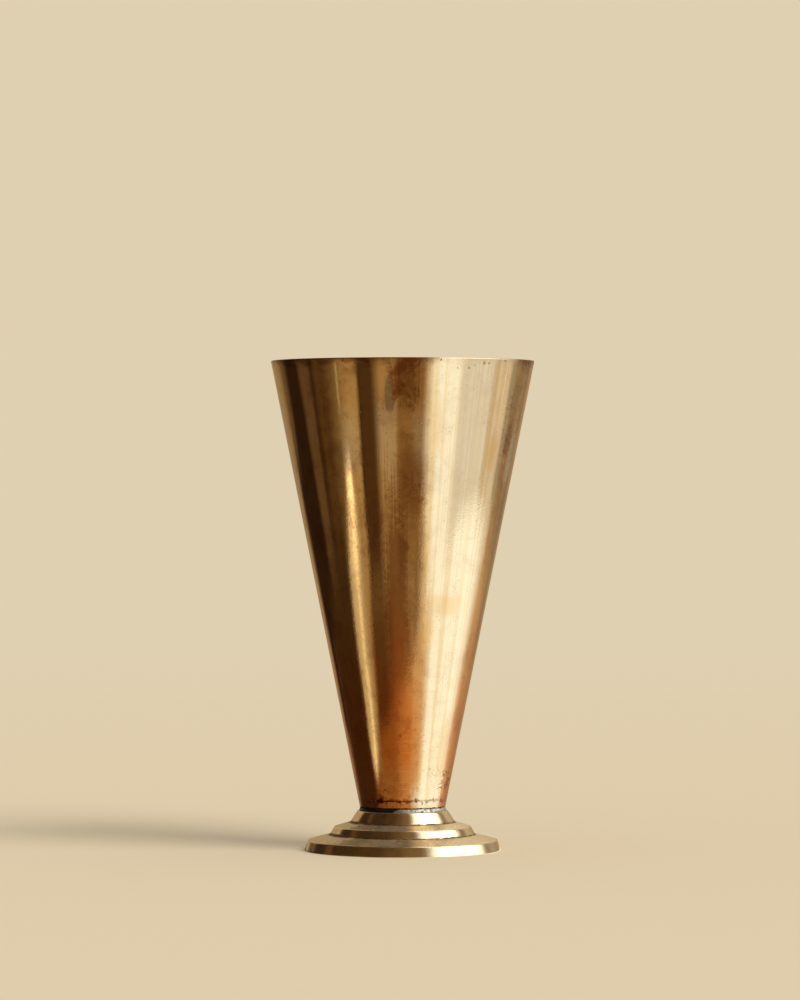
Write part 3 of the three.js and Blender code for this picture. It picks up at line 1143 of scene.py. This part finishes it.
# Levels of the floor in the metal, each over the last: azimuths where one starts and is full, and its level
FLOOR_DARK = (0.07, 0.042, 0.022)
FLOOR_TONES = (
    (-122, -152, (0.40, 0.30, 0.17)), (-70, -50, (0.28, 0.19, 0.11)), (-62, -30, (0.42, 0.31, 0.16)),
    (-20, 7, (0.80, 0.72, 0.54)), (4, 26, (0.97, 0.93, 0.83)), (28, 46, (1.3, 1.37, 1.43)),
    (96, 124, (0.78, 0.63, 0.50)), (118, 146, (0.54, 0.36, 0.20)),
)
# The lit disc: its centre, and the distances from it at which the light is gone and full
DISC_CENTRE = (0.25, 0.195, 0.0)
DISC_EDGE = (0.51, 0.465)
# A darker seam across the disc: azimuth, degrees away where it is gone and full, share and level
SEAM_AZIMUTH = 58.0
SEAM_SIDES = (5.5, 1.0)
SEAM_SHARE = 0.3
SEAM_LEVEL = (0.95, 0.78, 0.54)
# Patches beside the disc: azimuths of the sides and their softness, the reaches at which a patch is gone and
# full, and how much of it shows
FLOOR_PATCHES = (
    (-130, -71, 5, 0.66, 0.50, 1.0), (-200, -145, 7, 1.00, 0.60, 1.0), (-200, -133, 7, 1.55, 1.90, 1.0),
    (-136, -126, 3, 1.42, 1.62, 1.0), (112, 122, 4, 0.93, 0.86, 1.0), (121, 142, 5, 1.14, 0.98, 0.6),
)
# The shade in front of the disc: levels as the floor's, then its sides with their softness, and its reaches
SHADE_DARK = (0.14, 0.085, 0.042)
SHADE_TONES = (
    (-28, -10, (0.385, 0.27, 0.165)), (-12, -3, (0.48, 0.335, 0.185)), (1, 8, (0.31, 0.22, 0.125)),
)
SHADE_SIDES = (-46.0, 14.0, 6.0, 8.0)
SHADE_EDGE = (0.43, 0.31)
# The bright strip at the left: levels near and far, and how much a degree to its left or right counts
STRIP_NEAR = (0.77, 0.725, 0.65)
STRIP_FAR = (1.35, 1.32, 1.25)
LEFT_WEIGHT = 0.65
RIGHT_WEIGHT = 0.8
# Reaches over which the floor fades into the backdrop
FLOOR_FADE = (0.5, 3.0)


def mirrored_floor(nodes, place):
    """What metal sees of the floor: a lit disc, darker patches round it, a shade and a strip at the left."""
    x, y, _ = place.split()
    turn = nodes.azimuth(x, y)
    reach = nodes.vector("LENGTH", place)

    def levels(tone, tones):
        """The level at this azimuth, from the first one on."""
        return nodes.layered(tone, *[(turn.step(start, end), level) for start, end, level in tones])

    lit = nodes.vector("DISTANCE", place, DISC_CENTRE).step(*DISC_EDGE)
    for start, end, soft, gone, full, share in FLOOR_PATCHES:
        lit = nodes.strongest(lit, turn.between(start, end, soft, soft) * reach.step(gone, full, 0.0, share))
    shade = turn.between(*SHADE_SIDES) * reach.step(*SHADE_EDGE)
    tone = nodes.layered(
        levels(FLOOR_DARK, FLOOR_TONES),
        (abs(turn - SEAM_AZIMUTH).step(*SEAM_SIDES, 0.0, SEAM_SHARE), SEAM_LEVEL),
        (shade * (1.0 - lit), levels(SHADE_DARK, SHADE_TONES)),
    )

    # The strip bends a little, is narrow at both ends, has a crisp left side and a bright core
    off_centre = turn - (reach.step(0.20, 0.32, -57.0, -60.0) + reach.step(0.42, 0.56, 0.0, 2.5))
    to_left = off_centre * -LEFT_WEIGHT
    to_right = off_centre * RIGHT_WEIGHT
    width = nodes.math("MINIMUM", reach.step(0.42, 0.62, 13.5, 5.5), reach.step(0.12, 0.19, 7.5, 13.5))
    strip = nodes.math("MINIMUM", (to_left / width).step(0.68, 0.42), (to_right / width).step(1.0, 0.1))
    strip = strip * reach.step(0.10, 0.15) * reach.step(0.67, 0.61)
    core = nodes.strongest(to_right, to_left).step(2.4, 0.5, 1.0, 1.72) * reach.step(0.15, 0.21, 1.22, 1.0)
    strip_level = nodes.layered(STRIP_NEAR, (reach.step(0.40, 0.54), STRIP_FAR))
    glow_colour = nodes.layered(tone, (strip, nodes.scaled(strip_level, core)))
    glow = nodes.out("ShaderNodeEmission", Color=glow_colour, Strength=1.0)
    clear = nodes.out("ShaderNodeBsdfTransparent")
    return nodes.either(nodes.strongest(strip, lit, shade), clear, glow)


def stage_floor_finish(settings):
    """Pale floor that fades into the backdrop. Metal mirrors only the part of it near the vase."""
    material, nodes = new_material("pale_floor")
    place = nodes.place()
    rays = nodes.outputs("ShaderNodeLightPath")
    matt = nodes.out("ShaderNodeBsdfDiffuse", Color=settings.backdrop)
    far = nodes.out("ShaderNodeEmission", Color=settings.backdrop, Strength=1.0)
    fade = nodes.vector("LENGTH", place).step(*FLOOR_FADE) * rays["Is Camera Ray"]
    shown = nodes.either(fade, matt, far)
    surface = nodes.either(rays["Is Glossy Ray"], shown, mirrored_floor(nodes, place))
    nodes.add("ShaderNodeOutputMaterial", Surface=surface)
    return material


# Where the soft sun stands, and how far the camera sees, in metres
LAMP_PLACE = Vector((1.25, -1.0, 1.5))
CAMERA_CLIP = 50.0


class VASE_OT_stage(bpy.types.Operator):
    """Lay the floor, set the light and place the camera"""

    bl_idname = "vase.stage"
    bl_label = "Stage"

    def execute(self, context):
        settings = context.scene.vase_stage
        scene = context.scene
        scene.view_settings.view_transform = "Standard"
        scene.world = studio_world(settings)

        half = settings.floor_half
        mesh = bpy.data.meshes.new("studio_floor")
        corners = [(-half, -half, 0), (half, -half, 0), (half, half, 0), (-half, half, 0)]
        mesh.from_pydata(corners, [], [(0, 1, 2, 3)])
        mesh.materials.append(stage_floor_finish(settings))
        floor = new_object("studio_floor", mesh)

        lamp_data = bpy.data.lights.new("key_lamp", "SUN")
        lamp_data.angle = settings.lamp_spread
        lamp_data.energy = settings.lamp_energy
        lamp_data.color = settings.lamp_tint
        lamp = new_object("key_lamp", lamp_data)
        lamp.location = LAMP_PLACE
        lamp.rotation_euler = (-LAMP_PLACE).to_track_quat("-Z", "Y").to_euler()
        lamp.visible_glossy = False

        camera_data = bpy.data.cameras.new("camera")
        camera_data.lens = settings.lens
        camera_data.sensor_width = settings.film
        camera_data.clip_end = CAMERA_CLIP
        camera = new_object("camera", camera_data)
        camera.location = (-settings.side_step, -settings.view_distance, settings.eye_height)
        camera.rotation_euler = (math.pi / 2 - settings.dip, 0.0, 0.0)
        scene.camera = camera
        return {"FINISHED"}


class VASE_PT_panel(bpy.types.Panel):
    """Buttons for each step"""

    bl_idname = "VASE_PT_panel"
    bl_label = "Conical vase"
    bl_space_type = "VIEW_3D"
    bl_region_type = "UI"
    bl_category = "Vase"

    def draw(self, context):
        for operator in OPERATORS:
            self.layout.operator(operator.bl_idname)


OPERATORS = (VASE_OT_stage, VASE_OT_cone, VASE_OT_foot, VASE_OT_seams, VASE_OT_floor)
SETTINGS = {
    "vase_cone": VaseConeSettings,
    "vase_foot": VaseFootSettings,
    "vase_seams": VaseSeamSettings,
    "vase_stage": VaseStageSettings,
}


def register():
    """Registers the classes and hangs the settings on the scene."""
    for group in (*SETTINGS.values(), *OPERATORS, VASE_PT_panel):
        bpy.utils.register_class(group)
    for name, group in SETTINGS.items():
        setattr(bpy.types.Scene, name, PointerProperty(type=group))


def unregister():
    """Takes everything back out."""
    for name in SETTINGS:
        delattr(bpy.types.Scene, name)
    for group in reversed((*SETTINGS.values(), *OPERATORS, VASE_PT_panel)):
        bpy.utils.unregister_class(group)


def main():
    """Builds the stage and every piece."""
    register()
    bpy.ops.vase.stage()
    bpy.ops.vase.cone()
    bpy.ops.vase.foot()
    bpy.ops.vase.seams()
    bpy.ops.vase.floor()


if __name__ == "__main__":
    main()
